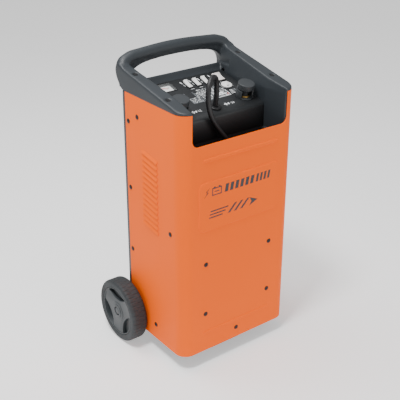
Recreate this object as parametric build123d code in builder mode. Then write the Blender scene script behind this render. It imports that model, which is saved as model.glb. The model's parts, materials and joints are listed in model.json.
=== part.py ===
from build123d import *
import os
from math import cos, pi, radians, sin, tan

# Trolley car battery charger and starter, in millimetres.
# X runs across the machine, -Y is the front, +Z is up. The origin is on the floor, under the
# middle of the footprint. "Depth" below always means the distance behind the front cover's face.

# ---- cabinet --------------------------------------------------------------------------------------
CABINET_W = 320.0            # outer width of the wrap-round cover
CABINET_D = 214.6            # depth of the cover, without the rear panel's edge
CABINET_H = 603.0
FLOOR_GAP = 40.0             # underside of the cabinet above the floor
SHEET = 1.5                  # sheet steel thickness
CORNER_R = 30.0              # vertical front corners
REAR_EDGE = 8.8              # the rear panel shows as a dark edge of this depth
FRONT_Y = -147.2             # places the footprint's middle at Y = 0
BOTTOM_Z = FLOOR_GAP
TOP_Z = FLOOR_GAP + CABINET_H
HALF_W = CABINET_W / 2

# ---- front cover ----------------------------------------------------------------------------------
NOTCH_HALF = 132.2           # opening at the top of the front, over the lead bin
NOTCH_Z = 569.0
NOTCH_R = 16.0
EMBOSS = 1.6                 # height of the pressed field and beads
EMBOSS_TAPER = 45.0
FIELD_HALF = 115.0
FIELD_Z = (362.0, 482.0)
FIELD_R = 13.0
LOUVRE_COUNT = 14
LOUVRE_PITCH = 13.5
LOUVRE_LEN = 60.0
LOUVRE_TOP = (121.3, 516.9)  # depth and height of the top louvre's middle
LOUVRE_SLOPE = 9.6           # the louvres fall towards the front, in degrees
LOUVRE_PROUD = 2.6
LOUVRE_SLOT = 2.6            # height of the opening in the sheet below a hood

# ---- wheels and axle ------------------------------------------------------------------------------
WHEEL_R = 80.0
WHEEL_W = 40.9
WHEEL_OUT = 206.2            # outer face of a wheel
AXLE_DEPTH = 216.6
AXLE_R = 5.0
RIM_R = 61.5
HUB_R = 24.5
RUNNING = 0.06               # radial running clearance

# ---- top moulding and control panel ---------------------------------------------------------------
WELL_HALF = 120.0            # half width of the recessed control panel
RAIL_FRONT_Z = 647.5
RAIL_REAR_Z = 693.0
RAIL_REAR_DEPTH = 222.0
MOULD_REAR_DEPTH = 252.0
LEDGE_Z = 654.0              # top of the wall behind the panel
GRIP_R = 14.8
GRIP_DEPTH = 249.0
GRIP_Z = 711.0
PANEL_TILT = 14.0            # the panel faces up and a little forward
PANEL_DEPTH = 64.0           # fascia face
PANEL_Z = 600.8              # panel surface where it meets the fascia's plane
PANEL_LEN = 161.5
PANEL_T = 3.0

# ---- lead bin -------------------------------------------------------------------------------------
BIN_HALF = 118.0
BIN_DEPTH = (3.0, 66.0)
BIN_FLOOR = 350.0
BIN_WALL = 2.0
FASCIA_LOW = 545.0

# ---- lead and clamp -------------------------------------------------------------------------------
LEAD_R = 6.0
COIL_X = -26.0
COIL_DEPTH = 34.0
COIL_Z = 478.0
COIL_MEAN_R = 50.0
COIL_TURNS = 10 / 3
COIL_HALF = 12.5             # half of the bundle's square section
CLAMP_DEPTH = 34.0


def depth(value):
    """Y of a point that lies this far behind the front face."""
    return FRONT_Y + value


def block(low, high, mode=Mode.ADD):
    """A box between two corners, in the active builder."""
    middle = [(a + b) / 2 for a, b in zip(low, high)]
    size = [b - a for a, b in zip(low, high)]
    with Locations(tuple(middle)):
        Box(*size, mode=mode)


def disc(plane, places, radius, height, mode=Mode.ADD):
    """Round bosses or holes that stand on a plane."""
    with BuildSketch(plane) as rounds:
        with Locations(*places):
            Circle(radius)
    extrude(rounds.sketch, amount=height, mode=mode)


def rod(start, end, radius, mode=Mode.ADD):
    """A round bar between two points."""
    axis = Vector(*end) - Vector(*start)
    with BuildSketch(Plane(origin=start, z_dir=axis)) as end_face:
        Circle(radius)
    extrude(end_face.sketch, amount=axis.length, mode=mode)


def save(part, name):
    part.label = name
    export_step(part, "parts/" + name + ".step")


os.makedirs("parts", exist_ok=True)

panel = Plane(
    origin=(0, depth(PANEL_DEPTH), PANEL_Z),
    x_dir=(1, 0, 0),
    z_dir=(0, -sin(radians(PANEL_TILT)), cos(radians(PANEL_TILT))),
)
side_plane = Plane.YZ        # sketch x is world Y, sketch y is world Z
front_plane = Plane(origin=(0, depth(0), 0), x_dir=(1, 0, 0), z_dir=(0, -1, 0))

# ---- cover screws: the places are shared by every sheet that they pass through --------------------
SCREW_HEAD_R = 5.8
SCREW_HEAD_H = 2.2
SCREW_R = 2.4
SCREW_LEN = 9.0
FRONT_SCREWS = [(-94.1, 276.4), (94.1, 276.4), (-94.1, 143.3), (94.1, 143.3), (0, 67.6)]
SIDE_SCREWS = [
    (203.2, 576.6), (203.2, 413.0), (203.2, 249.3), (203.2, 120.0),
    (167.0, 596.5), (45.6, 355.8), (110.0, 80.3),
]


def screw_holes():
    """Clearance holes for the cover screws, cut in the active part."""
    hole_r = SCREW_R + 0.15
    for x, z in FRONT_SCREWS:
        rod((x, depth(-5), z), (x, depth(9.5), z), hole_r, Mode.SUBTRACT)
    for at, z in SIDE_SCREWS:
        for side in (-1, 1):
            far = side * (HALF_W + 5)
            near = side * (HALF_W - 9.5)
            rod((far, depth(at), z), (near, depth(at), z), hole_r, Mode.SUBTRACT)


with BuildPart() as cover_screws:
    for x, z in FRONT_SCREWS:
        rod((x, depth(0), z), (x, depth(-SCREW_HEAD_H), z), SCREW_HEAD_R)
        rod((x, depth(-0.5), z), (x, depth(SCREW_LEN), z), SCREW_R)
    for at, z in SIDE_SCREWS:
        for side in (-1, 1):
            skin = side * HALF_W
            rod((skin, depth(at), z), (skin + side * SCREW_HEAD_H, depth(at), z), SCREW_HEAD_R)
            rod((skin + side * 0.5, depth(at), z), (skin - side * SCREW_LEN, depth(at), z), SCREW_R)
    crowns = [
        e for e in cover_screws.edges().filter_by(GeomType.CIRCLE)
        if abs(e.radius - SCREW_HEAD_R) < 0.01
        and (abs(e.center().X) > HALF_W + 1 or e.center().Y < depth(-1))
    ]
    fillet(crowns, 1.4)
save(cover_screws.part, "cover_screws")


# ---- front cover: one sheet bent round the front and both sides -----------------------------------
def wrap_outline(inset, rear):
    """Plan of the cabinet's inside or outside, with round front corners, as a closed face."""
    half = HALF_W - inset
    front = depth(inset)
    with BuildLine() as outline:
        FilletPolyline(
            (-half, depth(rear)), (-half, front), (half, front), (half, depth(rear)),
            radius=CORNER_R - inset,
        )
        Line((half, depth(rear)), (-half, depth(rear)))
    make_face(outline.edges())


def louvre_profile(lip, slope_end, back):
    """Section of a louvre's hood, drawn with x outward from the skin and y up."""
    with BuildLine() as hood:
        Polyline((back, -3.6), (lip, -3.6), (lip, -2.2), (0, slope_end), (back, slope_end), close=True)
    make_face(hood.edges())


def louvre_planes(side):
    """One plane per louvre, at its middle, with x outward and z along the louvre."""
    slope = radians(LOUVRE_SLOPE)
    for step in range(LOUVRE_COUNT):
        origin = (side * HALF_W, depth(LOUVRE_TOP[0]), LOUVRE_TOP[1] - step * LOUVRE_PITCH)
        yield Plane(origin=origin, x_dir=(side, 0, 0), z_dir=(0, -side * cos(slope), -side * sin(slope)))


with BuildPart() as front_cover:
    with BuildSketch(Plane.XY.offset(BOTTOM_Z)):
        wrap_outline(0, CABINET_D)
    extrude(amount=CABINET_H)
    with BuildSketch(Plane.XY.offset(BOTTOM_Z)):
        wrap_outline(SHEET, CABINET_D + 5)
    extrude(amount=CABINET_H, mode=Mode.SUBTRACT)
    # the notch over the lead bin
    with BuildSketch(front_plane.offset(5)):
        with BuildLine():
            FilletPolyline(
                (-NOTCH_HALF, TOP_Z + 9), (-NOTCH_HALF, NOTCH_Z), (NOTCH_HALF, NOTCH_Z),
                (NOTCH_HALF, TOP_Z + 9), radius=NOTCH_R,
            )
            Line((NOTCH_HALF, TOP_Z + 9), (-NOTCH_HALF, TOP_Z + 9))
        make_face()
    extrude(amount=-40, mode=Mode.SUBTRACT)
    # the pressed field and the two beads on the front
    field_mid = sum(FIELD_Z) / 2
    field_h = FIELD_Z[1] - FIELD_Z[0]
    raised = [(0, field_mid, 2 * FIELD_HALF, field_h, FIELD_R), (3, 533.3, 212.0, 8.0, 3.9),
              (0, 91.4, 203.0, 7.0, 3.4)]
    for x, z, wide, high, corner in raised:
        with BuildSketch(front_plane):
            with Locations((x, z)):
                RectangleRounded(wide, high, corner)
        extrude(amount=EMBOSS, taper=EMBOSS_TAPER)
        with BuildSketch(front_plane.offset(-SHEET)):
            with Locations((x, z)):
                RectangleRounded(wide - 2.6, high - 2.6, corner - 1.4)
        extrude(amount=EMBOSS, taper=EMBOSS_TAPER, mode=Mode.SUBTRACT)
    # louvres: hoods pressed outward, open along their lower edge
    for side in (-1, 1):
        for plane in louvre_planes(side):
            with BuildSketch(plane.offset(-LOUVRE_LEN / 2)):
                louvre_profile(LOUVRE_PROUD, 4.4, -0.4)
            extrude(amount=LOUVRE_LEN)
        for plane in louvre_planes(side):
            with BuildSketch(plane.offset(-LOUVRE_LEN / 2 + 1.5)):
                louvre_profile(LOUVRE_PROUD - 1.1, 2.2, -SHEET - 1)
            extrude(amount=LOUVRE_LEN - 3, mode=Mode.SUBTRACT)
            with BuildSketch(plane.offset(-LOUVRE_LEN / 2 + 1.5)):
                with Locations((0, -3.6)):
                    Rectangle(2 * (LOUVRE_PROUD - 1.1), 1.2)
                with Locations((0, -3.6 - LOUVRE_SLOT / 2)):
                    Rectangle(4 * SHEET, LOUVRE_SLOT)
            extrude(amount=LOUVRE_LEN - 3, mode=Mode.SUBTRACT)
    screw_holes()
    # the axle passes through the lower rear corners
    rod((-170, depth(AXLE_DEPTH), 80), (170, depth(AXLE_DEPTH), 80), AXLE_R + 1.5, Mode.SUBTRACT)
save(front_cover.part, "front_cover")

# ---- base plate: a tray that carries everything heavy ---------------------------------------------
BASE_INSET = SHEET + 0.2
BASE_LIP = 56.0
with BuildPart() as base_plate:
    with BuildSketch(Plane.XY.offset(BOTTOM_Z)):
        wrap_outline(BASE_INSET, CABINET_D - 0.1)
    extrude(amount=BASE_LIP)
    with BuildSketch(Plane.XY.offset(BOTTOM_Z + 2)):
        wrap_outline(BASE_INSET + SHEET, CABINET_D + 9)
    extrude(amount=BASE_LIP, mode=Mode.SUBTRACT)
    # the lip stops short of the rear panel's flanges
    block((-HALF_W, depth(196), BOTTOM_Z + 2), (HALF_W, depth(225), 150), Mode.SUBTRACT)
    for x in (-90, -60, -30, 0, 30, 60, 90):
        block((x - 3, depth(60), BOTTOM_Z - 1), (x + 3, depth(160), BOTTOM_Z + 3), Mode.SUBTRACT)
    screw_holes()
save(base_plate.part, "base_plate")

# ---- rear panel: a shallow pan with side flanges, a fan grille and the mains entry ----------------
REAR_FACE = CABINET_D + REAR_EDGE
FAN_Z = 290.0
FAN_X = 40.0
GLAND_X = -90.0
GLAND_Z = 180.0
GLAND_HOLE_R = 10.0
FAN_PITCH = 82.5             # spacing of the fan's four screws
FAN_SCREWS = [(FAN_X + a * FAN_PITCH / 2, FAN_Z + b * FAN_PITCH / 2) for a in (-1, 1) for b in (-1, 1)]
APRON_Z = 634.6              # lower edge of the top moulding behind the control panel
with BuildPart() as rear_panel:
    block((-HALF_W, depth(CABINET_D + 0.1), BOTTOM_Z), (HALF_W, depth(REAR_FACE), TOP_Z - 0.2))
    rim = 1.8
    block((-HALF_W + rim, depth(CABINET_D - 1), BOTTOM_Z + rim),
          (HALF_W - rim, depth(REAR_FACE - SHEET), TOP_Z - rim), Mode.SUBTRACT)
    for side in (-1, 1):
        inner = side * (HALF_W - BASE_INSET - SHEET)
        outer = side * (HALF_W - BASE_INSET)
        block((min(inner, outer), depth(197), BOTTOM_Z + 3), (max(inner, outer), depth(222.5), TOP_Z - 36))
    # slots in front of the fan, and a field of vents higher up
    for row in range(-4, 5):
        half = (40 ** 2 - (row * 9) ** 2) ** 0.5
        block((FAN_X - half, depth(REAR_FACE - 3), FAN_Z + row * 9 - 2),
              (FAN_X + half, depth(REAR_FACE + 1), FAN_Z + row * 9 + 2), Mode.SUBTRACT)
    for row in range(8):
        block((-70, depth(REAR_FACE - 3), 440 + row * 12),
              (70, depth(REAR_FACE + 1), 444 + row * 12), Mode.SUBTRACT)
    rod((GLAND_X, depth(REAR_FACE - 5), GLAND_Z), (GLAND_X, depth(REAR_FACE + 5), GLAND_Z),
        GLAND_HOLE_R, Mode.SUBTRACT)
    for x, z in FAN_SCREWS:
        rod((x, depth(REAR_FACE - 5), z), (x, depth(REAR_FACE + 5), z), 2.2, Mode.SUBTRACT)
    # the moulding's apron hangs in this cut
    block((-WELL_HALF - 2, depth(CABINET_D - 1), APRON_Z - 0.4),
          (WELL_HALF + 2, depth(REAR_FACE + 1), TOP_Z + 1), Mode.SUBTRACT)
    rod((-170, depth(AXLE_DEPTH), 80), (170, depth(AXLE_DEPTH), 80), AXLE_R + 0.1, Mode.SUBTRACT)
    screw_holes()
save(rear_panel.part, "rear_panel")

# ---- mains cable gland: body, nut and a clamping bore ---------------------------------------------
GLAND_BORE_R = 4.5
with BuildPart() as mains_gland:
    rod((GLAND_X, depth(REAR_FACE - 14), GLAND_Z), (GLAND_X, depth(REAR_FACE + 18), GLAND_Z), 9.8)
    with BuildSketch(Plane(origin=(GLAND_X, depth(REAR_FACE), GLAND_Z), x_dir=(1, 0, 0), z_dir=(0, 1, 0))):
        RegularPolygon(13.5, 6)
    extrude(amount=8)
    with BuildSketch(Plane(origin=(GLAND_X, depth(REAR_FACE - SHEET - 0.05), GLAND_Z),
                           x_dir=(1, 0, 0), z_dir=(0, -1, 0))):
        RegularPolygon(13.5, 6)
    extrude(amount=5)
    fillet(mains_gland.edges().filter_by(GeomType.CIRCLE).sort_by(Axis.Y)[-1], 3)
    rod((GLAND_X, depth(REAR_FACE - 20), GLAND_Z), (GLAND_X, depth(REAR_FACE + 20), GLAND_Z),
        GLAND_BORE_R, Mode.SUBTRACT)
save(mains_gland.part, "mains_gland")

# ---- front foot: a bent channel under the base ----------------------------------------------------
FOOT_HALF = 44.0
FOOT_DEPTH = (41.0, 79.0)
with BuildPart() as front_foot:
    block((-FOOT_HALF, depth(FOOT_DEPTH[0]), 0), (FOOT_HALF, depth(FOOT_DEPTH[1]), BOTTOM_Z))
    block((-FOOT_HALF - 1, depth(FOOT_DEPTH[0] + 2.5), 2.5),
          (FOOT_HALF + 1, depth(FOOT_DEPTH[1] - 2.5), BOTTOM_Z + 1), Mode.SUBTRACT)
    low_edges = front_foot.edges().filter_by(Axis.X).group_by(Axis.Z)[0]
    fillet(low_edges, 2)
    block((-FOOT_HALF, depth(FOOT_DEPTH[0] - 14), BOTTOM_Z - 2.5),
          (FOOT_HALF, depth(FOOT_DEPTH[0] + 2.5), BOTTOM_Z))
    block((-FOOT_HALF, depth(FOOT_DEPTH[1] - 2.5), BOTTOM_Z - 2.5),
          (FOOT_HALF, depth(FOOT_DEPTH[1] + 14), BOTTOM_Z))
save(front_foot.part, "front_foot")

# ---- axle, its brackets, washers and caps ---------------------------------------------------------
AXLE_Z = WHEEL_R
AXLE_END = WHEEL_OUT - 4.0
with BuildPart() as axle:
    rod((-AXLE_END, depth(AXLE_DEPTH), AXLE_Z), (AXLE_END, depth(AXLE_DEPTH), AXLE_Z), AXLE_R)
    chamfer(axle.edges().filter_by(GeomType.CIRCLE), 0.8)
save(axle.part, "axle")

with BuildPart() as axle_brackets:
    for side in (-1, 1):
        x = side * 120.0
        block((x - 1.5, depth(160), BOTTOM_Z + 2), (x + 1.5, depth(CABINET_D + 4.5), AXLE_Z + 16))
        block((x - 14, depth(160), BOTTOM_Z + 2), (x + 14, depth(CABINET_D + 3), BOTTOM_Z + 4.5))
    rod((-170, depth(AXLE_DEPTH), AXLE_Z), (170, depth(AXLE_DEPTH), AXLE_Z), AXLE_R + 0.02, Mode.SUBTRACT)
save(axle_brackets.part, "axle_brackets")

WHEEL_IN = WHEEL_OUT - WHEEL_W
with BuildPart() as wheel_washers:
    for side in (-1, 1):
        near = side * (HALF_W + 0.4)
        rod((near, depth(AXLE_DEPTH), AXLE_Z), (side * (WHEEL_IN - 0.4), depth(AXLE_DEPTH), AXLE_Z), 10.5)
    rod((-190, depth(AXLE_DEPTH), AXLE_Z), (190, depth(AXLE_DEPTH), AXLE_Z), AXLE_R + 0.02, Mode.SUBTRACT)
save(wheel_washers.part, "wheel_washers")

CAP_R = 10.0
HUB_FACE = WHEEL_OUT - 7.0   # floor of the small well in the hub that holds the cap
with BuildPart() as axle_caps:
    for side in (-1, 1):
        rod((side * (HUB_FACE + 0.4), depth(AXLE_DEPTH), AXLE_Z),
            (side * (WHEEL_OUT - 1.6), depth(AXLE_DEPTH), AXLE_Z), CAP_R)
    crown = [e for e in axle_caps.edges().filter_by(GeomType.CIRCLE)
             if abs(e.center().X) > WHEEL_OUT - 2]
    fillet(crown, 3)
    rod((-AXLE_END - 0.02, depth(AXLE_DEPTH), AXLE_Z), (AXLE_END + 0.02, depth(AXLE_DEPTH), AXLE_Z),
        AXLE_R + 0.02, Mode.SUBTRACT)
save(axle_caps.part, "axle_caps")

# ---- wheels ---------------------------------------------------------------------------------------
POCKET_R = 58.6
POCKET_AT = 92.5
POCKET_DEEP = 9.0
BOSS_RING_R = 17.0
WEB_SINK = 3.0               # the web's face lies this far inside the wheel's outer face


def wheel_plane(side):
    """Plane of a wheel's inner face, with z towards the outside and y up."""
    return Plane(origin=(side * WHEEL_IN, depth(AXLE_DEPTH), AXLE_Z), x_dir=(0, side, 0), z_dir=(side, 0, 0))


def build_rim(side):
    base = wheel_plane(side)
    with BuildPart() as rim:
        # ring that holds the tyre, the web, and the hub
        disc(base, [(0, 0)], RIM_R, WHEEL_W - 1.5)
        disc(base.offset(-1), [(0, 0)], RIM_R - 4.5, WHEEL_W - WEB_SINK - 13, Mode.SUBTRACT)
        disc(base.offset(WHEEL_W - WEB_SINK), [(0, 0)], RIM_R - 2.5, 10, Mode.SUBTRACT)
        disc(base, [(0, 0)], HUB_R, WHEEL_W - WEB_SINK + 0.9)
        # three scalloped pockets between the arms
        with BuildSketch(base.offset(WHEEL_W - WEB_SINK - POCKET_DEEP)):
            with PolarLocations(POCKET_AT, 3, start_angle=90):
                Circle(POCKET_R)
            Circle(RIM_R - 2.5, mode=Mode.INTERSECT)
        extrude(amount=POCKET_DEEP + 2, mode=Mode.SUBTRACT)
        # stepped hub with a well for the cap
        disc(base.offset(WHEEL_W - WEB_SINK), [(0, 0)], BOSS_RING_R, WEB_SINK - 1.0)
        disc(base.offset(WHEEL_W - 7.0), [(0, 0)], CAP_R + 1.0, 10, Mode.SUBTRACT)
        disc(base.offset(-1), [(0, 0)], AXLE_R + RUNNING, WHEEL_W + 2, Mode.SUBTRACT)
    return rim.part


def build_tyre(side):
    base = wheel_plane(side)
    with BuildPart() as tyre:
        disc(base, [(0, 0)], WHEEL_R, WHEEL_W)
        shoulders = tyre.edges().filter_by(GeomType.CIRCLE)
        fillet(shoulders, 7)
        disc(base.offset(-1), [(0, 0)], RIM_R, WHEEL_W + 2, Mode.SUBTRACT)
        bore = [e for e in tyre.edges().filter_by(GeomType.CIRCLE) if e.radius < RIM_R + 0.1]
        chamfer(bore, 1.2)
    return tyre.part


for side, word in ((-1, "left"), (1, "right")):
    save(build_rim(side), "wheel_rim_" + word)
    save(build_tyre(side), "tyre_" + word)

# ---- handle frame: two rails, the wall behind the panel, skirts and the grip ----------------------
rail_slope = (RAIL_REAR_Z - RAIL_FRONT_Z) / RAIL_REAR_DEPTH
FLARE_Z = 636.0              # the well's walls lean outward above this
WELL_REAR_DEPTH = 236.0
WALL_SECTION = [
    (222, 643.2), (228, 644.2), (233, LEDGE_Z), (240, LEDGE_Z), (238, 651), (229, 644.5), (225, 643.2),
]


def well_plan(front_half, half):
    """Plan of the well between the rails, wider where it opens to the front."""
    return [
        (-front_half, depth(-4)), (-half, depth(PANEL_DEPTH)), (-half, depth(WELL_REAR_DEPTH)),
        (half, depth(WELL_REAR_DEPTH)), (half, depth(PANEL_DEPTH)), (front_half, depth(-4)),
    ]


with BuildPart() as handle_frame:
    # outside shape above the cover: plan of the cabinet, carried back past the rear panel
    with BuildSketch(Plane.XY.offset(TOP_Z)):
        wrap_outline(0, MOULD_REAR_DEPTH + 6)
    extrude(amount=70)
    # side profile: sloping rails and a rear that swells out under the grip
    with BuildSketch(side_plane.offset(-HALF_W - 1)):
        with BuildLine():
            Polyline(
                (depth(CABINET_D + REAR_EDGE), TOP_Z), (depth(0), TOP_Z), (depth(0), TOP_Z + 2.0),
                (depth(5), RAIL_FRONT_Z + 1.2), (depth(RAIL_REAR_DEPTH), RAIL_REAR_Z),
            )
            Spline(
                (depth(RAIL_REAR_DEPTH), RAIL_REAR_Z), (depth(238), 699), (depth(252), 690),
                (depth(MOULD_REAR_DEPTH), 672), (depth(240), 654),
                (depth(CABINET_D + REAR_EDGE), TOP_Z),
            )
        make_face()
    extrude(amount=CABINET_W + 2, mode=Mode.INTERSECT)
    # lower skirt, inside the cover
    skirt = SHEET + 0.3
    for side in (-1, 1):
        near = side * (WELL_HALF - 1.0)
        far = side * (HALF_W - skirt)
        block((min(near, far), depth(34), 561), (max(near, far), depth(196), TOP_Z))
        near_front = side * 128.0
        block((min(near, near_front), depth(3.2), 547), (max(near, near_front), depth(64), TOP_Z))
        far_front = side * 138.0
        block((min(near_front, far_front), depth(3.2), 567), (max(near_front, far_front), depth(40), TOP_Z))
        block((min(near, far), depth(190), 628), (max(near, far), depth(214), TOP_Z))
    # the well between the rails: upright walls up to the panel, then they lean outward
    with BuildSketch(Plane.XY.offset(535)) as well:
        with BuildLine() as well_edge:
            Polyline(*well_plan(131.5, WELL_HALF), close=True)
        make_face(well_edge.edges())
    extrude(well.sketch, amount=FLARE_Z - 535, mode=Mode.SUBTRACT)
    with BuildSketch(Plane.XY.offset(FLARE_Z)) as flare_low:
        with BuildLine() as flare_edge:
            Polyline(*well_plan(131.5, WELL_HALF), close=True)
        make_face(flare_edge.edges())
    with BuildSketch(Plane.XY.offset(760)) as flare_high:
        with BuildLine() as lip_edge:
            Polyline(*well_plan(140, 148.8), close=True)
        make_face(lip_edge.edges())
    loft([flare_low.sketch.faces()[0], flare_high.sketch.faces()[0]], mode=Mode.SUBTRACT)
    # opening between the grip and the wall behind the panel
    block((-128, depth(200), LEDGE_Z), (128, depth(290), 790), Mode.SUBTRACT)
    # the wall behind the panel, and its apron that closes the cabinet's top
    with BuildSketch(side_plane.offset(-WELL_HALF - 8)) as wall:
        with BuildLine() as wall_edge:
            Polyline(*[(depth(at), z) for at, z in WALL_SECTION], close=True)
        make_face(wall_edge.edges())
    extrude(wall.sketch, amount=2 * WELL_HALF + 16)
    block((-WELL_HALF - 0.8, depth(REAR_FACE - SHEET), APRON_Z),
          (WELL_HALF + 0.8, depth(224.4), TOP_Z + 0.7))
    # hollow the rails from below
    for side in (-1, 1):
        with BuildSketch(side_plane.offset(side * 143.8 - 10.8)):
            with BuildLine():
                Polyline(
                    (depth(36), 540), (depth(36), RAIL_FRONT_Z + 36 * rail_slope - 9),
                    (depth(206), RAIL_FRONT_Z + 206 * rail_slope - 9), (depth(206), 540), close=True,
                )
            make_face()
        extrude(amount=21.6, mode=Mode.SUBTRACT)
    # the grip: a round bar that rises from the rear of both rails
    with BuildLine() as grip_line:
        half_grip = [(145, 237, 668), (146, 245, 697), (118, GRIP_DEPTH, 706)]
        grip_points = [(-x, depth(y), z) for x, y, z in half_grip]
        grip_points.append((0, depth(GRIP_DEPTH + 1), GRIP_Z + 3))
        grip_points += [(x, depth(y), z) for x, y, z in reversed(half_grip)]
        FilletPolyline(*grip_points, radius=(14, 24, 900, 24, 14))
    with BuildSketch(Plane(origin=grip_line.line @ 0, z_dir=grip_line.line % 0)):
        Circle(GRIP_R)
    sweep(path=grip_line.line)
    # recessed screws in the rails
    rail_up = Vector(0, -rail_slope, 1).normalized()
    for side in (-1, 1):
        for at in (68.4, 191.0):
            top = Vector(side * 145, depth(at), RAIL_FRONT_Z + at * rail_slope)
            high = top + rail_up * 6
            rod(tuple(high), tuple(top - rail_up * 5), 6.3, Mode.SUBTRACT)
            rod(tuple(high), tuple(top - rail_up * 12), 2.5, Mode.SUBTRACT)
    screw_holes()
save(handle_frame.part, "handle_frame")

with BuildPart() as handle_screws:
    for side in (-1, 1):
        for at in (68.4, 191.0):
            top = Vector(side * 145, depth(at), RAIL_FRONT_Z + at * rail_slope)
            seat = top - rail_up * 4.98
            rod(tuple(seat), tuple(top - rail_up * 1.6), 5.4)
            rod(tuple(top - rail_up * 3), tuple(top - rail_up * 16), 2.3)
save(handle_screws.part, "handle_screws")

# ---- control panel: the sloping plate and the fascia below it, one moulding -----------------------
METER_AT = (-66.0, 140.0)
METER_SIZE = (58.0, 35.0)
SELECTOR_X = (-2.5, 22.3, 47.1)
SELECTOR_SIZE = (14.6, 33.0)
POWER_X = 86.0
POWER_SIZE = (26.0, 33.0)
SWITCH_V = 133.0
TIMER_AT = (84.0, 97.0)
TERMINAL_X = 92.0
TERMINAL_V = 41.0
GROMMET_AT = (-2.0, 28.9)
GROMMET_HOLE_R = 9.0
PANEL_HALF = WELL_HALF - 0.3
BEZEL_CLEAR = 0.2

with BuildPart() as control_panel:
    # plate and fascia as one bent section, drawn from the side
    fascia_y = depth(PANEL_DEPTH)
    front_edge = panel.from_local_coords(Vector(0, 0, 0))
    rear_edge = panel.from_local_coords(Vector(0, PANEL_LEN, 0))
    rear_low = panel.from_local_coords(Vector(0, PANEL_LEN, -PANEL_T))
    inner_edge = panel.from_local_coords(Vector(0, PANEL_T + 1.0, -PANEL_T))
    with BuildSketch(side_plane.offset(-PANEL_HALF)):
        with BuildLine():
            Polyline(
                (fascia_y, FASCIA_LOW), (front_edge.Y, front_edge.Z), (rear_edge.Y, rear_edge.Z),
                (rear_low.Y, rear_low.Z), (inner_edge.Y, inner_edge.Z),
                (fascia_y + PANEL_T, inner_edge.Z - 1.5), (fascia_y + PANEL_T, FASCIA_LOW), close=True,
            )
        make_face()
    extrude(amount=2 * PANEL_HALF)
    bend = control_panel.edges().filter_by(Axis.X).sort_by_distance(front_edge)[0]
    fillet(bend, 9)
    inner_bend = control_panel.edges().filter_by(Axis.X).sort_by_distance(inner_edge)[0]
    fillet(inner_bend, 6)
    # windows for the meter, the switches and the timer, and the lead's hole
    with BuildSketch(panel.offset(-PANEL_T - 2)):
        with Locations(METER_AT):
            Rectangle(METER_SIZE[0] + 2 * BEZEL_CLEAR, METER_SIZE[1] + 2 * BEZEL_CLEAR)
        for x in SELECTOR_X:
            with Locations((x, SWITCH_V)):
                Rectangle(SELECTOR_SIZE[0] - 2.0, SELECTOR_SIZE[1] - 3.0)
        with Locations((POWER_X, SWITCH_V)):
            Rectangle(POWER_SIZE[0] - 2.0, POWER_SIZE[1] - 3.0)
        with Locations(TIMER_AT):
            Circle(4.0)
        with Locations(GROMMET_AT):
            Circle(GROMMET_HOLE_R)
        with Locations((-TERMINAL_X, TERMINAL_V), (TERMINAL_X, TERMINAL_V)):
            Circle(7.0)
    extrude(amount=PANEL_T + 4, mode=Mode.SUBTRACT)
save(control_panel.part, "control_panel")

# ---- lead bin behind the front cover --------------------------------------------------------------
BIN_TOP = 542.0
with BuildPart() as storage_bin:
    block((-BIN_HALF, depth(BIN_DEPTH[0]), BIN_FLOOR), (BIN_HALF, depth(BIN_DEPTH[1]), BIN_TOP))
    block((-BIN_HALF + BIN_WALL, depth(BIN_DEPTH[0] + BIN_WALL), BIN_FLOOR + BIN_WALL),
          (BIN_HALF - BIN_WALL, depth(BIN_DEPTH[1] - BIN_WALL), BIN_TOP + 1), Mode.SUBTRACT)
    # the side walls drop away towards the front, and the back wall tucks behind the fascia
    block((-BIN_HALF, depth(BIN_DEPTH[1] - BIN_WALL), BIN_TOP),
          (BIN_HALF, depth(BIN_DEPTH[1]), FASCIA_LOW))
save(storage_bin.part, "storage_bin")

# ---- ammeter: housing with its movement, dial, needle and lens ------------------------------------
METER_WALL = 1.6
METER_DEEP = 13.0
METER_DIAL_W = -5.0
NEEDLE_PIVOT = (METER_AT[0], METER_AT[1] - 13.0)
NEEDLE_LEN = 22.0
NEEDLE_REST = 135.0          # direction of the needle at zero, from the panel's x axis
with BuildPart(panel) as ammeter_housing:
    half_u, half_v = METER_SIZE[0] / 2, METER_SIZE[1] / 2
    u0, v0 = METER_AT
    block((u0 - half_u, v0 - half_v, -METER_DEEP), (u0 + half_u, v0 + half_v, 0.8))
    block((u0 - half_u + METER_WALL, v0 - half_v + METER_WALL, METER_WALL - METER_DEEP),
          (u0 + half_u - METER_WALL, v0 + half_v - METER_WALL, 2), Mode.SUBTRACT)
    # studs for the current leads, and the bearing post of the movement
    with Locations((u0 - 14, v0, -METER_DEEP - 3), (u0 + 14, v0, -METER_DEEP - 3)):
        Cylinder(2.5, 7)
    with Locations((NEEDLE_PIVOT[0], NEEDLE_PIVOT[1], -METER_DEEP + 2.5)):
        Cylinder(3.0, 5)
save(ammeter_housing.part, "ammeter_housing")

with BuildPart(panel) as ammeter_dial:
    inset = METER_WALL + 0.1
    block((u0 - half_u + inset, v0 - half_v + inset, METER_DIAL_W - 1.2),
          (u0 + half_u - inset, v0 + half_v - inset, METER_DIAL_W))
    with Locations((NEEDLE_PIVOT[0], NEEDLE_PIVOT[1], METER_DIAL_W)):
        Cylinder(3.3, 6, mode=Mode.SUBTRACT)
save(ammeter_dial.part, "ammeter_dial")

with BuildPart() as ammeter_needle:
    with BuildSketch(panel.offset(METER_DIAL_W + 0.9)):
        with Locations(NEEDLE_PIVOT):
            Circle(2.6)
            with Locations(Location((0, 0, 0), (0, 0, NEEDLE_REST))):
                with Locations((NEEDLE_LEN / 2 - 1, 0)):
                    Rectangle(NEEDLE_LEN + 2, 0.9)
    extrude(amount=0.6)
    disc(panel.offset(-7.8), [NEEDLE_PIVOT], 0.8, 5.0)
    disc(panel.offset(-2.9), [NEEDLE_PIVOT], 1.4, 0.6)
save(ammeter_needle.part, "ammeter_needle")

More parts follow.
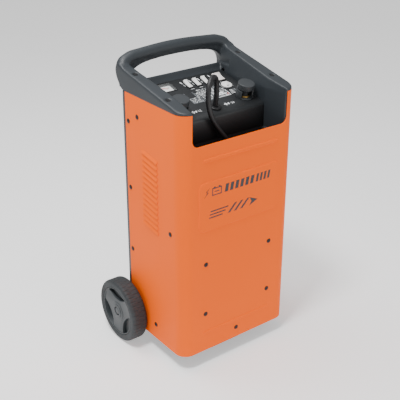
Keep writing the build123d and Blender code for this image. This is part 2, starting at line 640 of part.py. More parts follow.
with BuildPart(panel) as ammeter_lens:
    block((u0 - half_u + inset, v0 - half_v + inset, -1.4), (u0 + half_u - inset, v0 + half_v - inset, 0.4))
save(ammeter_lens.part, "ammeter_lens")

# ---- rocker switches ------------------------------------------------------------------------------
ROCKER_TILT = 9.0            # a rocker rests this far to one side and clicks over to the other
ROCKER_PIVOT_W = -1.5


def build_switch_body(x, size):
    """Housing of one rocker switch: a rim on the panel and a box below it."""
    half_u = size[0] / 2
    half_v = size[1] / 2
    with BuildPart(panel) as body:
        block((x - half_u, SWITCH_V - half_v, 0.02), (x + half_u, SWITCH_V + half_v, 1.8))
        block((x - half_u + 1.2, SWITCH_V - half_v + 1.8, -20),
              (x + half_u - 1.2, SWITCH_V + half_v - 1.8, 0.1))
        block((x - half_u + 1.8, SWITCH_V - half_v + 2.4, -10),
              (x + half_u - 1.8, SWITCH_V + half_v - 2.4, 3), Mode.SUBTRACT)
        for tab in (-8, 8):
            block((x - 2.4, SWITCH_V + tab - 0.4, -29), (x + 2.4, SWITCH_V + tab + 0.4, -20))
    return body.part


def build_rocker(x, size):
    """A rocker: a shallow V on top and a round underside about its pivot."""
    half_u = size[0] / 2 - 2.1
    reach = size[1] / 2 - 3.4
    tilt = radians(ROCKER_TILT)
    hinge = Plane(
        origin=panel.from_local_coords(Vector(x - half_u, SWITCH_V, ROCKER_PIVOT_W)),
        x_dir=panel.y_dir * cos(tilt) + panel.z_dir * sin(tilt), z_dir=panel.x_dir,
    )
    with BuildPart() as rocker:
        with BuildSketch(hinge):
            with BuildLine():
                Polyline((-reach, 6.6), (-reach, 1.5), (-5, -5.5), (5, -5.5), (reach, 1.5), (reach, 6.6))
                ThreePointArc((reach, 6.6), (0, 4.9), (-reach, 6.6))
            make_face()
        extrude(amount=2 * half_u)
    return rocker.part


selector_bodies = Compound(children=[build_switch_body(x, SELECTOR_SIZE) for x in SELECTOR_X])
save(selector_bodies, "selector_bodies")
for number, x in enumerate(SELECTOR_X, start=1):
    save(build_rocker(x, SELECTOR_SIZE), f"selector_rocker_{number}")
save(build_switch_body(POWER_X, POWER_SIZE), "power_switch_body")
save(build_rocker(POWER_X, POWER_SIZE), "power_rocker")

# ---- timer: clockwork under the panel and a low round knob above it -------------------------------
TIMER_KNOB_R = 12.8
with BuildPart(panel) as timer_body:
    u0, v0 = TIMER_AT
    block((u0 - 19, v0 - 16, -24), (u0 + 19, v0 + 14, -PANEL_T - 0.1))
    with Locations((u0, v0, -1.6)):
        Cylinder(3.9, 3.4)
    with Locations((u0, v0, -10)):
        Cylinder(3.0 + RUNNING, 30, mode=Mode.SUBTRACT)
save(timer_body.part, "timer_body")

with BuildPart() as timer_knob:
    disc(panel.offset(0.4), [TIMER_AT], TIMER_KNOB_R, 2.6)
    fillet(timer_knob.edges().filter_by(GeomType.CIRCLE).sort_by(Axis(panel.origin, panel.z_dir))[-1], 0.6)
    with BuildSketch(panel.offset(2.9)):
        with Locations(TIMER_AT):
            SlotOverall(17.0, 4.6, rotation=60)
    extrude(amount=3.4)
    disc(panel.offset(-12), [TIMER_AT], 3.0, 12.6)
save(timer_knob.part, "timer_knob")

# ---- output terminals -----------------------------------------------------------------------------
POST_R = 20.4
POST_WALL = 3.0
POST_H = 20.0
STUD_R = 4.0
KNOB_R = 19.4
KNOB_LOW = 22.0
KNOB_HIGH = 36.0
BOSS_R = 9.0
WINDOW_ANGLE = 120.0         # the post is open towards the front, where a lug goes in


def build_terminal_post(x):
    centre = (x, TERMINAL_V)
    with BuildPart() as post:
        disc(panel.offset(0.02), [centre], POST_R, POST_H)
        disc(panel.offset(3.0), [centre], POST_R - POST_WALL, POST_H, Mode.SUBTRACT)
        half = radians(WINDOW_ANGLE / 2)
        far = POST_R + 5
        reach = (far * sin(half), TERMINAL_V - far * cos(half))
        with BuildSketch(panel.offset(3.0)) as window:
            with BuildLine() as wedge:
                Polyline(centre, (x - reach[0], reach[1]), (x, TERMINAL_V - far * 1.6),
                         (x + reach[0], reach[1]), close=True)
            make_face(wedge.edges())
        extrude(window.sketch, amount=POST_H, mode=Mode.SUBTRACT)
        # neck through the panel and the clamping nut under it
        disc(panel.offset(-PANEL_T - 6), [centre], 6.9, PANEL_T + 6.5)
        disc(panel.offset(-20), [centre], STUD_R + 0.1, 60, Mode.SUBTRACT)
    return post.part


def build_terminal_stud(x):
    centre = (x, TERMINAL_V)
    with BuildPart() as stud:
        disc(panel.offset(-24), [centre], STUD_R, 54)
        # contact plate that a lug lies on, and the nut below the panel
        disc(panel.offset(3.02), [centre], 12.5, 1.5)
        with BuildSketch(panel.offset(-PANEL_T - 12.5)) as nut:
            with Locations(centre):
                RegularPolygon(7.5, 6)
        extrude(nut.sketch, amount=6.4)
    return stud.part


def build_terminal_washer(x):
    centre = (x, TERMINAL_V)
    with BuildPart() as washer:
        disc(panel.offset(4.6), [centre], 11.5, 1.6)
        disc(panel.offset(3), [centre], STUD_R + 0.1, 5, Mode.SUBTRACT)
    return washer.part


def build_terminal_knob(x):
    centre = (x, TERMINAL_V)
    with BuildPart() as knob:
        disc(panel.offset(KNOB_LOW), [centre], KNOB_R, KNOB_HIGH - KNOB_LOW)
        fillet(knob.edges().filter_by(GeomType.CIRCLE), 1.6)
        disc(panel.offset(6.3), [centre], BOSS_R, KNOB_LOW - 6)
        disc(panel.offset(6), [centre], STUD_R + RUNNING, 26, Mode.SUBTRACT)
    return knob.part


for side, word in ((-1, "left"), (1, "right")):
    x = side * TERMINAL_X
    save(build_terminal_post(x), "terminal_post_" + word)
    save(build_terminal_stud(x), "terminal_stud_" + word)
    save(build_terminal_washer(x), "terminal_washer_" + word)
    save(build_terminal_knob(x), "terminal_knob_" + word)

# ---- negative lead: out of a grommet, over in a loop and down into the bin ------------------------
GROMMET_R = 14.5
with BuildPart() as lead_grommet:
    disc(panel.offset(0.02), [GROMMET_AT], GROMMET_R, 4.8)
    fillet(lead_grommet.edges().filter_by(GeomType.CIRCLE).sort_by(Axis.Z)[-1], 2.6)
    disc(panel.offset(-PANEL_T - 0.02), [GROMMET_AT], GROMMET_HOLE_R - 0.02, PANEL_T + 1)
    disc(panel.offset(-PANEL_T - 2.5), [GROMMET_AT], 11.0, 2.4)
    disc(panel.offset(-8), [GROMMET_AT], LEAD_R + 0.15, 16, Mode.SUBTRACT)
save(lead_grommet.part, "lead_grommet")

LEAD_ROUTE = [
    (-2, 93, 603.9), (-2, 86.2, 631.2), (-5, 82, 660), (-11, 77, 681), (-28, 67, 690), (-44, 58, 681),
    (-52, 53, 659), (-51, 51, 630), (-42, 51, 602), (-26, 50, 575), (-6, 46, 549), (7, 39, 524),
    (17.3, 34, 503),
]
TAIL_ROUTE = [
    (-26, 34, 428), (-53, 34, 427.3), (-82, 34, 417), (-94, 34, 393), (-82, 34, 371), (-58, 34, 361.5),
    (-34, 34, 361.5),
]


def build_lead(name, route):
    """Round cable along straight runs joined by tangent arcs."""
    points = [Vector(x, depth(back), z) for x, back, z in route]
    radii = []
    for before, here, after in zip(points, points[1:], points[2:]):
        first = here - before
        second = after - here
        half_turn = radians(first.get_angle(second)) / 2
        radii.append(0.45 * min(first.length, second.length) / tan(half_turn))
    with BuildLine() as path:
        FilletPolyline(*points, radius=radii)
    with BuildPart() as lead:
        with BuildSketch(Plane(origin=path.line @ 0, z_dir=path.line % 0)) as section:
            Circle(LEAD_R)
        sweep(section.sketch, path=path.line)
    length = path.wires()[0].length
    print(name, "length", round(length, 1), "radii", [round(r, 1) for r in radii],
          "volume over section", round(lead.part.volume / (pi * LEAD_R ** 2), 1))
    save(lead.part, name)


build_lead("negative_lead", LEAD_ROUTE)
build_lead("lead_tail", TAIL_ROUTE)
print("lead_coil length", round(COIL_TURNS * 2 * pi * COIL_MEAN_R, 1))

coil_plane = Plane(origin=(COIL_X, depth(COIL_DEPTH), COIL_Z), x_dir=(1, 0, 0), z_dir=(0, -1, 0))
with BuildPart() as lead_coil:
    disc(coil_plane.offset(-COIL_HALF), [(0, 0)], COIL_MEAN_R + COIL_HALF, 2 * COIL_HALF)
    disc(coil_plane.offset(-COIL_HALF - 1), [(0, 0)], COIL_MEAN_R - COIL_HALF, 2 * COIL_HALF + 2,
         Mode.SUBTRACT)
    fillet(lead_coil.edges().filter_by(GeomType.CIRCLE), 4)
save(lead_coil.part, "lead_coil")

TIE_T = 2.0
with BuildPart() as coil_tie:
    tie_x = COIL_X - COIL_MEAN_R
    grip = COIL_HALF + 0.6
    block((tie_x - grip - TIE_T, depth(COIL_DEPTH - grip - TIE_T), COIL_Z - 6),
          (tie_x + grip + TIE_T, depth(COIL_DEPTH + grip + TIE_T), COIL_Z + 6))
    fillet(coil_tie.edges().filter_by(Axis.Z), 4)
    block((tie_x - grip, depth(COIL_DEPTH - grip), COIL_Z - 7),
          (tie_x + grip, depth(COIL_DEPTH + grip), COIL_Z + 7), Mode.SUBTRACT)
save(coil_tie.part, "coil_tie")

# ---- battery clamp at the end of the lead: it lies on the floor of the bin ------------------------
CLAMP_PIVOT = (35.0, 376.0)
CLAMP_HALF = 15.0            # half width of the fixed jaw
JAW_HALF = 12.0              # half width of the moving jaw, between the fixed jaw's ears
PIN_R = 2.5
clamp_plane = Plane(origin=(0, depth(CLAMP_DEPTH), 0), x_dir=(1, 0, 0), z_dir=(0, -1, 0))
JAW_OUTLINE = [
    (12, -18.5), (35, -15), (60, -18.5), (85, -12.5), (104, -5), (104, -0.2), (97, -0.2), (82, -6),
    (60, -10.5), (48, -7), (22, -7), (12, -8.5),
]
LOWER_GRIP = [(12, -19), (-44, -23.5), (-44, -6), (12, -8)]
UPPER_GRIP = [(12, 19), (-40, 36), (-44, 34), (-44, 22), (12, 8)]


def clamp_profile(points, flip, half_width, mode=Mode.ADD):
    """A slab of the clamp across the bin, from heights about the pivot's level."""
    placed = [(x, CLAMP_PIVOT[1] + flip * height) for x, height in points]
    with BuildSketch(clamp_plane.offset(-half_width)) as slab:
        with BuildLine() as edge:
            Polyline(*placed, close=True)
        make_face(edge.edges())
    extrude(slab.sketch, amount=2 * half_width, mode=mode)


def pivot_disc(low, high, radius, mode=Mode.ADD):
    """A disc about the clamp's pivot, between two distances across the clamp."""
    disc(clamp_plane.offset(low), [CLAMP_PIVOT], radius, high - low, mode)


with BuildPart() as clamp_jaw_fixed:
    clamp_profile(JAW_OUTLINE, 1, CLAMP_HALF)
    pivot_disc(-JAW_HALF - 0.5, JAW_HALF + 0.5, 9.2, Mode.SUBTRACT)
    for low in (-CLAMP_HALF, JAW_HALF + 0.5):
        pivot_disc(low, low + CLAMP_HALF - JAW_HALF - 0.5, 9.5)
        with BuildSketch(clamp_plane.offset(low)) as ear:
            with Locations((CLAMP_PIVOT[0], CLAMP_PIVOT[1] - 6)):
                Rectangle(16, 12)
        extrude(ear.sketch, amount=CLAMP_HALF - JAW_HALF - 0.5)
    pivot_disc(-20, 20, PIN_R + 0.02, Mode.SUBTRACT)
save(clamp_jaw_fixed.part, "clamp_jaw_fixed")

with BuildPart() as clamp_jaw_moving:
    clamp_profile(JAW_OUTLINE, -1, JAW_HALF)
    pivot_disc(-JAW_HALF, JAW_HALF, 8)
    clamp_profile([(28, 0), (42, 0), (42, 9), (28, 9)], 1, JAW_HALF)
    pivot_disc(-6, 6, 7, Mode.SUBTRACT)
    pivot_disc(-20, 20, PIN_R + RUNNING, Mode.SUBTRACT)
save(clamp_jaw_moving.part, "clamp_jaw_moving")

with BuildPart() as clamp_grip_fixed:
    clamp_profile(LOWER_GRIP, 1, CLAMP_HALF + 0.5)
    fillet(clamp_grip_fixed.edges().filter_by(Axis.Y).sort_by(Axis.X)[:2], 3)
    rod((-50, depth(CLAMP_DEPTH), TAIL_ROUTE[-1][2]), (-33.9, depth(CLAMP_DEPTH), TAIL_ROUTE[-1][2]),
        LEAD_R + 0.3, Mode.SUBTRACT)
save(clamp_grip_fixed.part, "clamp_grip_fixed")

with BuildPart() as clamp_grip_moving:
    clamp_profile(UPPER_GRIP, 1, CLAMP_HALF + 0.5)
    fillet(clamp_grip_moving.edges().filter_by(Axis.Y).sort_by(Axis.X)[:2], 2)
save(clamp_grip_moving.part, "clamp_grip_moving")

with BuildPart() as clamp_pin:
    pivot_disc(-CLAMP_HALF - 1.5, CLAMP_HALF + 1.5, PIN_R)
    pivot_disc(-CLAMP_HALF - 2.2, -CLAMP_HALF - 0.05, 4.5)
    pivot_disc(CLAMP_HALF + 0.05, CLAMP_HALF + 2.2, 4.5)
save(clamp_pin.part, "clamp_pin")

SPRING_WIRE = 1.5
SPRING_COILS = 7
with BuildPart() as clamp_spring:
    spring_start = -SPRING_COILS * SPRING_WIRE / 2
    pivot_disc(spring_start, -spring_start, 5.4)
    for turn in range(SPRING_COILS):
        middle = spring_start + (turn + 0.5) * SPRING_WIRE
        with Locations(Location(clamp_plane.offset(middle).from_local_coords(Vector(*CLAMP_PIVOT, 0)),
                                (90, 0, 0))):
            Torus(5.4, SPRING_WIRE / 2)
    pivot_disc(-9, 9, PIN_R + 0.6, Mode.SUBTRACT)
save(clamp_spring.part, "clamp_spring")

# ---- transformer ----------------------------------------------------------------------------------
CORE_HALF = 75.0
CORE_DEPTH = (80.0, 165.0)
CORE_Z = (52.0, 182.0)
LEG_HALF = 25.0
WINDOW_HALF = 50.0
WINDOW_Z = (77.0, 157.0)
with BuildPart() as transformer_core:
    block((-CORE_HALF, depth(CORE_DEPTH[0]), CORE_Z[0]), (CORE_HALF, depth(CORE_DEPTH[1]), CORE_Z[1]))
    for side in (-1, 1):
        near, far = sorted((side * LEG_HALF, side * WINDOW_HALF))
        block((near, depth(CORE_DEPTH[0] - 1), WINDOW_Z[0]), (far, depth(CORE_DEPTH[1] + 1), WINDOW_Z[1]),
              Mode.SUBTRACT)
save(transformer_core.part, "transformer_core")


def build_winding(low, high):
    """One coil round the middle leg of the core."""
    with BuildPart() as winding:
        block((-WINDOW_HALF + 0.6, depth(CORE_DEPTH[0] - 24), low),
              (WINDOW_HALF - 0.6, depth(CORE_DEPTH[1] + 24), high))
        fillet(winding.edges().filter_by(Axis.Z), 12)
        block((-LEG_HALF - 0.5, depth(CORE_DEPTH[0] - 0.5), low - 1),
              (LEG_HALF + 0.5, depth(CORE_DEPTH[1] + 0.5), high + 1), Mode.SUBTRACT)
        fillet(winding.edges().filter_by(GeomType.CIRCLE), 3)
    return winding.part


save(build_winding(WINDOW_Z[0] + 1, 116), "secondary_winding")
save(build_winding(118, WINDOW_Z[1] - 1), "primary_winding")

with BuildPart() as transformer_rails:
    for near in (CORE_DEPTH[0], CORE_DEPTH[1] - 20):
        block((-CORE_HALF - 12, depth(near), BOTTOM_Z + 2), (CORE_HALF + 12, depth(near + 20), CORE_Z[0]))
        block((-CORE_HALF - 13, depth(near + 2), BOTTOM_Z + 4),
              (CORE_HALF + 13, depth(near + 18), CORE_Z[0] + 1), Mode.SUBTRACT)
        for side in (-1, 1):
            inner, outer = sorted((side * (CORE_HALF - 10), side * (CORE_HALF + 12)))
            block((inner, depth(near), CORE_Z[0] - 2), (outer, depth(near + 20), CORE_Z[0]))
save(transformer_rails.part, "transformer_rails")

# ---- rectifier ------------------------------------------------------------------------------------
SINK_HALF = 60.0
SINK_DEPTH = 165.0
SINK_Z = (395.0, 515.0)
REAR_INSIDE = REAR_FACE - SHEET
FIN_COUNT = 13
with BuildPart() as rectifier_heatsink:
    block((-SINK_HALF, depth(SINK_DEPTH), SINK_Z[0]), (SINK_HALF, depth(SINK_DEPTH + 6), SINK_Z[1]))
    for fin in range(FIN_COUNT):
        x = -SINK_HALF + 1.5 + fin * (2 * SINK_HALF - 3) / (FIN_COUNT - 1)
        end_fin = fin in (0, FIN_COUNT - 1)
        reach = REAR_INSIDE if end_fin else REAR_INSIDE - 6
        block((x - 1.5, depth(SINK_DEPTH + 5), SINK_Z[0]), (x + 1.5, depth(reach), SINK_Z[1]))
save(rectifier_heatsink.part, "rectifier_heatsink")

DIODES = [(-32, 425), (32, 425), (-32, 485), (32, 485)]
with BuildPart() as rectifier_diodes:
    for x, z in DIODES:
        rod((x, depth(SINK_DEPTH), z), (x, depth(SINK_DEPTH - 9), z), 12)
        rod((x, depth(SINK_DEPTH - 8), z), (x, depth(SINK_DEPTH - 24), z), 3)
save(rectifier_diodes.part, "rectifier_diodes")

with BuildPart() as bus_bars:
    for side in (-1, 1):
        stud = panel.from_local_coords(Vector(side * TERMINAL_X, TERMINAL_V, -24))
        block((side * TERMINAL_X - 9, stud.Y - 7.5, 470), (side * TERMINAL_X + 9, stud.Y - 4.5, stud.Z))
        block((side * TERMINAL_X - 9, stud.Y - 7.5, 470),
              (side * TERMINAL_X + 9, depth(SINK_DEPTH - 12), 473))
        near, far = sorted((side * (TERMINAL_X + 9), side * 28))
        block((near, depth(SINK_DEPTH - 30), 470), (far, depth(SINK_DEPTH - 12), 473))
save(bus_bars.part, "bus_bars")

# ---- fan on the rear panel ------------------------------------------------------------------------
FAN_SIZE = 92.0
FAN_DEEP = 25.0
fan_plane = Plane(origin=(FAN_X, depth(REAR_INSIDE - 0.05), FAN_Z), x_dir=(1, 0, 0), z_dir=(0, -1, 0))
with BuildPart() as fan_frame:
    with BuildSketch(fan_plane) as square:
        RectangleRounded(FAN_SIZE, FAN_SIZE, 5)
    extrude(square.sketch, amount=FAN_DEEP)
    disc(fan_plane.offset(-1), [(0, 0)], 43.5, FAN_DEEP + 2, Mode.SUBTRACT)
    disc(fan_plane, [(0, 0)], 17, 5)
    for angle in (45, 135, 225, 315):
        with BuildSketch(fan_plane) as strut:
            with Locations(Location((0, 0, 0), (0, 0, angle))):
                with Locations((30, 0)):
                    Rectangle(30, 4)
        extrude(strut.sketch, amount=4)
    disc(fan_plane, [(0, 0)], 2.0, 20)
    with BuildSketch(fan_plane) as fan_holes:
        with GridLocations(FAN_PITCH, FAN_PITCH, 2, 2):
            Circle(2.2)
    extrude(fan_holes.sketch, amount=FAN_DEEP, mode=Mode.SUBTRACT)
save(fan_frame.part, "fan_frame")

BLADE_COUNT = 7
with BuildPart() as fan_rotor:
    disc(fan_plane.offset(6), [(0, 0)], 18, 17)
    for blade in range(BLADE_COUNT):
        turn = 2 * pi * blade / BLADE_COUNT
        outward = fan_plane.x_dir * cos(turn) + fan_plane.y_dir * sin(turn)
        around = fan_plane.y_dir * cos(turn) - fan_plane.x_dir * sin(turn)
        blade_plane = Plane(origin=fan_plane.offset(14.5).origin + outward * 16, x_dir=around, z_dir=outward)
        with BuildSketch(blade_plane) as section:
            with Locations(Location((0, 0, 0), (0, 0, 35))):
                Rectangle(19, 1.6)
        extrude(section.sketch, amount=24.5)
    disc(fan_plane.offset(5), [(0, 0)], 2.0 + RUNNING, 20, Mode.SUBTRACT)
save(fan_rotor.part, "fan_rotor")

with BuildPart() as fan_screws:
    for x, z in FAN_SCREWS:
        rod((x, depth(REAR_FACE), z), (x, depth(REAR_FACE + 2), z), 4)
        rod((x, depth(REAR_FACE + 0.5), z), (x, depth(REAR_FACE - 16), z), 2)
    rims = fan_screws.edges().filter_by(GeomType.CIRCLE)
    heads = [e for e in rims if e.center().Y > depth(REAR_FACE + 1.9)]
    fillet(heads, 1.2)
save(fan_screws.part, "fan_screws")

with BuildPart() as mains_terminal_block:
    block((-105, depth(150), BOTTOM_Z + 2), (-89, depth(200), 66))
    for place in range(4):
        with Locations((-97, depth(156 + place * 12.6), 62)):
            Cylinder(3.2, 10, mode=Mode.SUBTRACT)
save(mains_terminal_block.part, "mains_terminal_block")
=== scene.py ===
import json
import random
from math import cos, pi, radians, sin, tau

import bmesh
import bpy
import numpy as np
from mathutils import Matrix, Vector


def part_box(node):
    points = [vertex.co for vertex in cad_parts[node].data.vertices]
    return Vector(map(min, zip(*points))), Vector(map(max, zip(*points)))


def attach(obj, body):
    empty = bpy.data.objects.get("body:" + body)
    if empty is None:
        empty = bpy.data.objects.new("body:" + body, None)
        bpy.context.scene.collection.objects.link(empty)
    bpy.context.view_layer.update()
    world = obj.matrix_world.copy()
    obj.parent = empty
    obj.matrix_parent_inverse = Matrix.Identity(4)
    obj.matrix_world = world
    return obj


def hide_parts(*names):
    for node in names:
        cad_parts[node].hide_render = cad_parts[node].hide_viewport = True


# The car battery charger's looks, in metres. X runs across it, -Y is its front and +Z is up.
# A "depth" is a distance behind the front cover's face, in millimetres, as in the CAD model.

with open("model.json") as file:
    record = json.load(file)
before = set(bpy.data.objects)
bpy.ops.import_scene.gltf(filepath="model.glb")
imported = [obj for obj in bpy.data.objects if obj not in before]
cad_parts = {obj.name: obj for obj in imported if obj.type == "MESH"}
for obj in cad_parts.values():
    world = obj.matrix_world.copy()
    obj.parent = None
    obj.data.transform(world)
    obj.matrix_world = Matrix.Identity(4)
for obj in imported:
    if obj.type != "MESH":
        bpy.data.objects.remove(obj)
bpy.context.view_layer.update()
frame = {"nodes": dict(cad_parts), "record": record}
nodes = frame["nodes"]
ROOT = "charger"
MM = 0.001
FRONT_Y = -147.2


def at(x, depth, z):
    """A point given in millimetres: across, behind the front face, and above the floor."""
    return Vector((x, FRONT_Y + depth, z)) * MM


# ---- camera -----------------------------------------------------------------------------------
CAMERA_AT = Vector((-1.08826, -1.43216, 1.24042))
AZIMUTH, ELEVATION, ROLL = -0.6497, 0.4577, 0.0045
LENS = 74.77

back = Vector((sin(AZIMUTH) * cos(ELEVATION), -cos(AZIMUTH) * cos(ELEVATION), sin(ELEVATION)))
right = Vector((0, 0, 1)).cross(back).normalized()
up = back.cross(right)
across = right * cos(ROLL) + up * sin(ROLL)
upward = up * cos(ROLL) - right * sin(ROLL)
camera = bpy.data.objects.new("camera", bpy.data.cameras.new("camera"))
camera.data.lens = LENS
camera.data.sensor_width = 36
camera.data.clip_end = 50
turn = Matrix((across, upward, back)).transposed().to_4x4()
camera.matrix_world = Matrix.Translation(CAMERA_AT) @ turn
bpy.context.scene.collection.objects.link(camera)
bpy.context.scene.camera = camera


# ---- materials --------------------------------------------------------------------------------
def material(name, colour, rough=0.5, metal=0.0, mottle=(6, 0.06), grain=(1400, 0.25, 0.0001),
             smear=(14, 0.06), coat=0.0, specular=0.5, painted_edge_highlight=0.0, alpha=1.0):
    """A surface with uneven colour and gloss, and a fine grain.
    mottle and smear are (scale, amount) for colour and roughness, grain is (scale, strength, depth)."""
    made = bpy.data.materials.new(name)
    made.use_nodes = True
    tree = made.node_tree
    shader = tree.nodes["Principled BSDF"]
    place = tree.nodes.new("ShaderNodeTexCoord")
    shader.inputs["Metallic"].default_value = metal
    shader.inputs["Coat Weight"].default_value = coat
    shader.inputs["Coat Roughness"].default_value = 0.12
    shader.inputs["Specular IOR Level"].default_value = specular
    shader.inputs["Alpha"].default_value = alpha

    def noise(scale, detail):
        cloud = tree.nodes.new("ShaderNodeTexNoise")
        cloud.inputs["Scale"].default_value = scale
        cloud.inputs["Detail"].default_value = detail
        tree.links.new(place.outputs["Object"], cloud.inputs["Vector"])
        return cloud.outputs["Fac"]

    tone = tree.nodes.new("ShaderNodeValToRGB")
    dark = [max(0.0, c * (1 - mottle[1])) for c in colour]
    light = [min(1.0, c * (1 + mottle[1])) for c in colour]
    tone.color_ramp.elements[0].position = 0.3
    tone.color_ramp.elements[1].position = 0.7
    tone.color_ramp.elements[0].color = (*dark, 1)
    tone.color_ramp.elements[1].color = (*light, 1)
    tree.links.new(noise(mottle[0], 4), tone.inputs["Fac"])
    shade = tone.outputs["Color"]
    if painted_edge_highlight:
        # painted highlight: convex edges are made paler, standing in for light catching them
        shape = tree.nodes.new("ShaderNodeNewGeometry")
        edge_highlight_mask = tree.nodes.new("ShaderNodeMapRange")
        edge_highlight_mask.inputs["From Min"].default_value = 0.52
        edge_highlight_mask.inputs["From Max"].default_value = 0.62
        edge_highlight_mask.inputs["To Max"].default_value = painted_edge_highlight
        tree.links.new(shape.outputs["Pointiness"], edge_highlight_mask.inputs["Value"])
        mix = tree.nodes.new("ShaderNodeMix")
        mix.data_type = "RGBA"
        highlight_colour = [min(1.0, c * 2.2 + 0.03) for c in colour]
        mix.inputs["B"].default_value = (*highlight_colour, 1)
        tree.links.new(edge_highlight_mask.outputs["Result"], mix.inputs["Factor"])
        tree.links.new(shade, mix.inputs["A"])
        shade = mix.outputs["Result"]
    tree.links.new(shade, shader.inputs["Base Color"])
    gloss = tree.nodes.new("ShaderNodeMapRange")
    gloss.inputs["To Min"].default_value = max(0.02, rough - smear[1])
    gloss.inputs["To Max"].default_value = min(1.0, rough + smear[1])
    tree.links.new(noise(smear[0], 3), gloss.inputs["Value"])
    tree.links.new(gloss.outputs["Result"], shader.inputs["Roughness"])
    bump = tree.nodes.new("ShaderNodeBump")
    bump.inputs["Strength"].default_value = grain[1]
    bump.inputs["Distance"].default_value = grain[2]
    tree.links.new(noise(grain[0], 2), bump.inputs["Height"])
    tree.links.new(bump.outputs["Normal"], shader.inputs["Normal"])
    return made


SCRATCH_SCALE = (30, 30, 900)


def steel(name, colour, rough):
    """Drawn or turned metal: fine scratches that run one way."""
    made = material(name, colour, rough=rough, metal=1.0, mottle=(40, 0.08), smear=(60, 0.1))
    tree = made.node_tree
    stretch = tree.nodes.new("ShaderNodeMapping")
    stretch.inputs["Scale"].default_value = SCRATCH_SCALE
    lines = tree.nodes.new("ShaderNodeTexNoise")
    lines.inputs["Scale"].default_value = 3
    lines.inputs["Detail"].default_value = 6
    place = next(n for n in tree.nodes if n.bl_idname == "ShaderNodeTexCoord")
    bump = next(n for n in tree.nodes if n.bl_idname == "ShaderNodeBump")
    tree.links.new(place.outputs["Object"], stretch.inputs["Vector"])
    tree.links.new(stretch.outputs["Vector"], lines.inputs["Vector"])
    tree.links.new(lines.outputs["Fac"], bump.inputs["Height"])
    return made


ORANGE = (1.0, 0.13, 0.0)
CHARCOAL = (0.021, 0.026, 0.031)
BLACK = (0.012, 0.012, 0.014)
WHITE = (0.86, 0.86, 0.84)
# painted highlight: the edge value of a look makes its convex edges paler
looks = {
    "orange_enamel": material("orange_enamel", ORANGE, rough=0.46, mottle=(3, 0.035),
                              grain=(420, 0.12, 0.00015), smear=(9, 0.05), specular=0.06),
    "black_enamel": material("black_enamel", BLACK, rough=0.42, grain=(500, 0.15, 0.0002), coat=0.1),
    "moulding": material("moulding", CHARCOAL, rough=0.52, mottle=(9, 0.07), painted_edge_highlight=0.25,
                         grain=(1500, 0.35, 0.00012)),
    "panel": material("panel", (0.011, 0.0125, 0.014), rough=0.5, grain=(1300, 0.35, 0.0001)),
    "bin": material("bin", (0.012, 0.012, 0.014), rough=0.65, grain=(900, 0.3, 0.0002)),
    "black_screw": material("black_screw", (0.009, 0.0095, 0.011), rough=0.42, metal=0.3,
                            grain=(900, 0.2, 0.0001)),
    "bright_screw": steel("bright_screw", (0.6, 0.61, 0.63), 0.3),
    "meter_case": material("meter_case", (0.014, 0.014, 0.016), rough=0.3),
    "dial_white": material("dial_white", (0.82, 0.83, 0.82), rough=0.6, mottle=(90, 0.03),
                           grain=(2500, 0.15, 0.00005)),
    "needle": material("needle", (0.03, 0.02, 0.02), rough=0.4),
    "lens": material("lens", (0.9, 0.95, 0.95), rough=0.06, mottle=(20, 0.02), smear=(30, 0.02),
                     grain=(60, 0.05, 0.0001), alpha=0.05),
    "switch_case": material("switch_case", (0.012, 0.012, 0.013), rough=0.35),
    "rocker_white": material("rocker_white", WHITE, rough=0.28, mottle=(50, 0.03), coat=0.3),
    "rocker_red": material("rocker_red", (0.84, 0.78, 0.75), rough=0.28, mottle=(50, 0.04), coat=0.3),
    "timer_white": material("timer_white", (0.84, 0.84, 0.82), rough=0.32, mottle=(50, 0.03)),
    "terminal_plastic": material("terminal_plastic", (0.03, 0.034, 0.038), rough=0.5, painted_edge_highlight=0.2,
                                 grain=(1400, 0.3, 0.0001)),
    "terminal_brass": steel("terminal_brass", (0.78, 0.58, 0.26), 0.3),
    "tyre": material("tyre", (0.03, 0.034, 0.037), rough=0.66, mottle=(26, 0.16),
                     grain=(700, 0.5, 0.0003), smear=(30, 0.1), painted_edge_highlight=0.2, specular=0.35),
    "rim": material("rim", (0.028, 0.034, 0.038), rough=0.48, mottle=(16, 0.08), painted_edge_highlight=0.25,
                    grain=(1300, 0.35, 0.00012)),
    "steel": steel("steel", (0.52, 0.53, 0.55), 0.32),
    "lead": material("lead", (0.008, 0.008, 0.009), rough=0.5, mottle=(60, 0.15),
                     grain=(800, 0.35, 0.0002)),
    "tie": material("tie", (0.03, 0.03, 0.03), rough=0.6, grain=(1800, 0.6, 0.0002)),
    "clamp_steel": steel("clamp_steel", (0.62, 0.58, 0.46), 0.34),
    "clamp_grip": material("clamp_grip", (0.02, 0.02, 0.022), rough=0.62, grain=(700, 0.5, 0.0003)),
    "core": material("core", (0.1, 0.085, 0.075), rough=0.5, metal=0.3, mottle=(30, 0.2)),
    "copper": material("copper", (0.5, 0.2, 0.08), rough=0.32, metal=0.8, mottle=(40, 0.15)),
    "aluminium": steel("aluminium", (0.76, 0.77, 0.79), 0.34),
    "fan_plastic": material("fan_plastic", (0.02, 0.02, 0.022), rough=0.5),
    "gland": material("gland", (0.025, 0.025, 0.027), rough=0.5, grain=(900, 0.4, 0.0002)),
    "block": material("block", (0.7, 0.66, 0.52), rough=0.5),
}
inks = {
    "ink_white": material("ink_white", (0.85, 0.87, 0.88), rough=0.5, mottle=(300, 0.05)),
    "ink_black": material("ink_black", (0.012, 0.012, 0.014), rough=0.45, mottle=(80, 0.2)),
    "ink_red": material("ink_red", (0.75, 0.06, 0.04), rough=0.5, mottle=(300, 0.08)),
    "ink_green": material("ink_green", (0.1, 0.36, 0.14), rough=0.5, mottle=(300, 0.08)),
    "ink_grey": material("ink_grey", (0.3, 0.32, 0.34), rough=0.5, mottle=(300, 0.08)),
}
node_slot = {s["node"]: s["material_slot"] for s in frame["record"]["subparts"]}
body_of = {n: b for b, group in frame["record"]["behaviour"]["bodies"].items() for n in group}
for node, obj in nodes.items():
    for place in obj.material_slots:
        place.material = looks[node_slot[node]]


